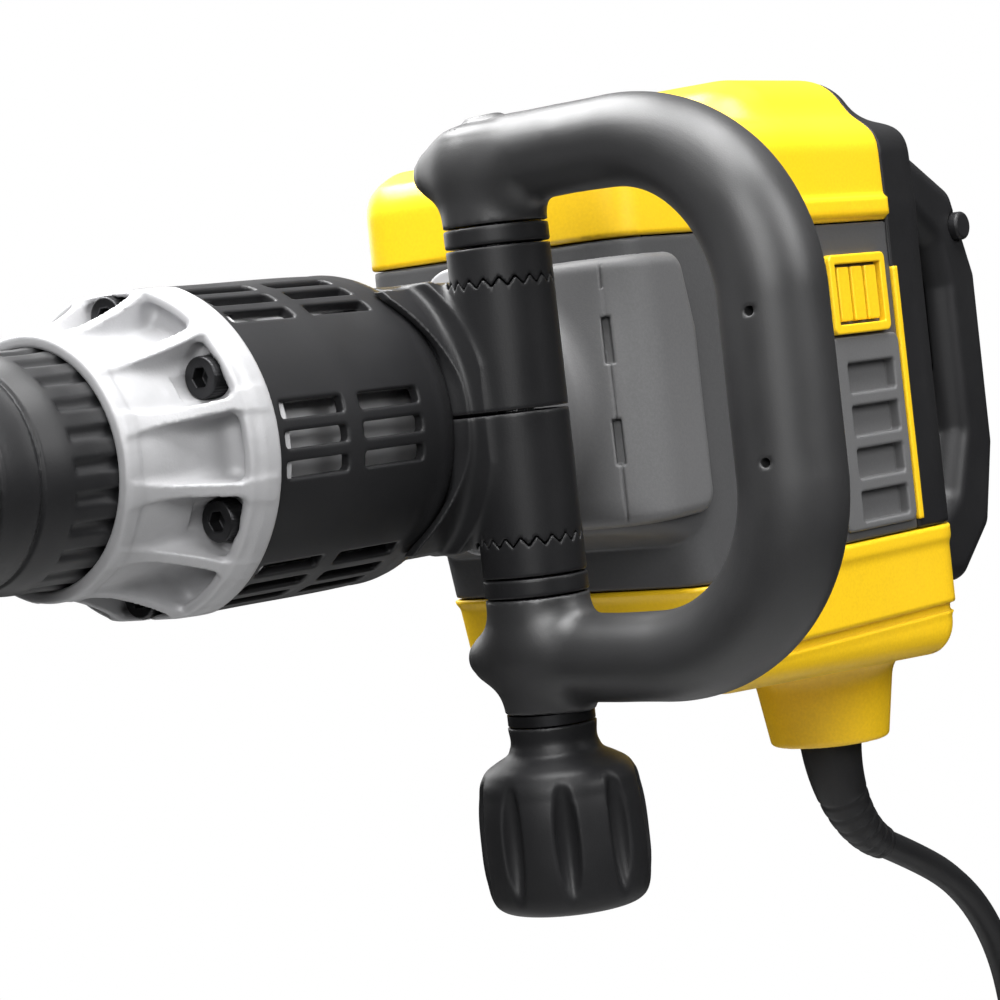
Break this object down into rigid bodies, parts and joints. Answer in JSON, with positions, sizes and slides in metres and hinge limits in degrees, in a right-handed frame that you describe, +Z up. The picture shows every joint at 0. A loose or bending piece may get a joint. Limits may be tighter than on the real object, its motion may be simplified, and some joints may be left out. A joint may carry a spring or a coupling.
{
  "type": "demolition hammer",
  "caption": "Electric demolition hammer with a vertical motor, vented barrel cover, ribbed cast nose, swinging loop side handle on a knob clamp, rear D handle and mains cord.",
  "frame": {"origin": "centre of the mouth of the chisel bore, at the front end of the tool holder", "axes": "+X along the bore towards the chisel, +Y to the left of the tool, where the loop handle stands, +Z up, away from the clamp knob and the cord"},
  "size_m": [0.6355, 0.2455, 0.662],
  "materials": {
    "yellow_housing": "satin moulded polyamide",
    "grey_plastic": "fine textured dark grey polyamide",
    "black_plastic": "fine textured black polyamide",
    "black_rubber": "soft matte overmould",
    "cast_aluminium": "die cast, fine grain",
    "machined_steel": "turned and ground",
    "blackened_steel": "black oxide",
    "motor_iron": "laminated",
    "carbon": "pressed graphite"
  },
  "bodies": {
    "root": {"ball_bearings": "machined_steel", "barrel_cover": "black_plastic", "barrel_housing": "cast_aluminium", "beat_bush": "machined_steel", "brush_plate": "black_plastic", "carbon_brushes": "carbon", "cord_boot": "black_rubber", "cord_coil": "black_rubber", "cord_tube": "black_rubber", "crankcase": "cast_aluminium", "crankcase_lid": "cast_aluminium", "cylinder_tube": "machined_steel", "dust_cap": "black_rubber", "gear_covers": "grey_plastic", "handle_screws": "blackened_steel", "left_side_shell": "grey_plastic", "lower_housing": "yellow_housing", "nose_housing": "cast_aluminium", "nose_screws": "blackened_steel", "plug": "black_rubber", "power_switch": "black_plastic", "rear_cover": "yellow_housing", "rear_handle_left": "black_plastic", "rear_handle_right": "black_plastic", "right_side_shell": "grey_plastic", "side_panels": "grey_plastic", "sleeve_spring": "blackened_steel", "speed_module": "black_plastic", "stator": "motor_iron", "tool_holder": "machined_steel", "trigger_spring": "blackened_steel", "upper_housing": "yellow_housing"},
    "clamp": {"clamp_upper": "black_plastic", "clamp_lower": "black_plastic", "clamp_strap": "machined_steel", "clamp_bolt": "machined_steel"},
    "side_handle": {"side_handle_loop": "black_rubber", "side_handle_core": "machined_steel", "tooth_collars": "black_plastic", "spacer_rings": "black_plastic"},
    "washer": {"knob_washer": "machined_steel"},
    "knob": {"clamp_knob": "black_plastic"},
    "sleeve": {"lock_sleeve": "black_plastic"},
    "segment_left": {"locking_segment_left": "machined_steel"},
    "segment_right": {"locking_segment_right": "machined_steel"},
    "beat": {"beat_piece": "machined_steel"},
    "striker": {"striker": "machined_steel", "striker_seal": "black_rubber"},
    "piston": {"piston": "machined_steel", "piston_seal": "black_rubber"},
    "crank": {"crankshaft": "machined_steel", "crank_gear": "machined_steel"},
    "rod": {"connecting_rod": "machined_steel", "wrist_pin": "machined_steel"},
    "rotor": {"motor_shaft": "machined_steel", "armature": "motor_iron", "cooling_fan": "black_plastic"},
    "trigger": {"trigger": "black_plastic"},
    "lock_button": {"lock_button": "black_plastic"},
    "dial": {"speed_dial": "black_plastic"}
  },
  "joints": [
    {"name": "side_handle_turn", "type": "hinge", "parent": "root", "child": "clamp", "pos_m": [-0.236, 0, 0], "axis": [1, 0, 0], "range_deg": [-180, 180]},
    {"name": "side_handle_swing", "type": "hinge", "parent": "clamp", "child": "side_handle", "pos_m": [-0.236, 0.059, 0], "axis": [0, 0, 1], "range_deg": [-54, 18]},
    {"name": "knob_travel", "type": "slide", "parent": "clamp", "child": "washer", "axis": [0, 0, -1], "range_m": [0, 0.0036]},
    {"name": "knob_turn", "type": "hinge", "parent": "washer", "child": "knob", "pos_m": [-0.236, 0.059, -0.13], "axis": [0, 0, 1], "range_deg": [0, 720]},
    {"name": "lock_sleeve_slide", "type": "slide", "parent": "root", "child": "sleeve", "axis": [-1, 0, 0], "range_m": [0, 0.012], "stiffness_N_per_m": 1500, "springref_m": -0.004, "deforming": ["sleeve_spring"]},
    {"name": "segment_left_slide", "type": "slide", "parent": "root", "child": "segment_left", "axis": [0, 1, 0], "range_m": [0, 0.0015]},
    {"name": "segment_right_slide", "type": "slide", "parent": "root", "child": "segment_right", "axis": [0, -1, 0], "range_m": [0, 0.0015]},
    {"name": "beat_slide", "type": "slide", "parent": "root", "child": "beat", "axis": [1, 0, 0], "range_m": [0, 0.01]},
    {"name": "striker_slide", "type": "slide", "parent": "root", "child": "striker", "axis": [1, 0, 0], "range_m": [-0.005, 0.018]},
    {"name": "piston_slide", "type": "slide", "parent": "root", "child": "piston", "axis": [-1, 0, 0], "range_m": [0, 0.024]},
    {"name": "crank_spin", "type": "hinge", "parent": "root", "child": "crank", "pos_m": [-0.376, 0, 0.03], "axis": [0, 0, 1], "continuous": true},
    {"name": "rod_swing", "type": "hinge", "parent": "crank", "child": "rod", "pos_m": [-0.364, 0, 0], "axis": [0, 0, 1], "continuous": true},
    {"name": "motor_spin", "type": "hinge", "parent": "root", "child": "rotor", "pos_m": [-0.426, 0, 0], "axis": [0, 0, 1], "continuous": true},
    {"name": "trigger_press", "type": "slide", "parent": "root", "child": "trigger", "axis": [-1, 0, 0], "range_m": [0, 0.005], "stiffness_N_per_m": 1800, "springref_m": -0.003, "deforming": ["trigger_spring"]},
    {"name": "lock_button_press", "type": "slide", "parent": "root", "child": "lock_button", "axis": [0, -1, 0], "range_m": [0, 0.004], "stiffness_N_per_m": 900, "springref_m": -0.002},
    {"name": "speed_dial_turn", "type": "hinge", "parent": "root", "child": "dial", "pos_m": [-0.43, -0.064, 0.082], "axis": [0, 1, 0], "range_deg": [0, 270]}
  ],
  "couplings": [
    {"joint": "knob_travel", "follows": "knob_turn", "m_per_rad": 0.00027852},
    {"joint": "segment_left_slide", "follows": "lock_sleeve_slide", "ratio": 0.125},
    {"joint": "segment_right_slide", "follows": "lock_sleeve_slide", "ratio": 0.125},
    {"joint": "rod_swing", "follows": "crank_spin", "ratio": -1},
    {"joint": "motor_spin", "follows": "crank_spin", "ratio": -4}
  ]
}
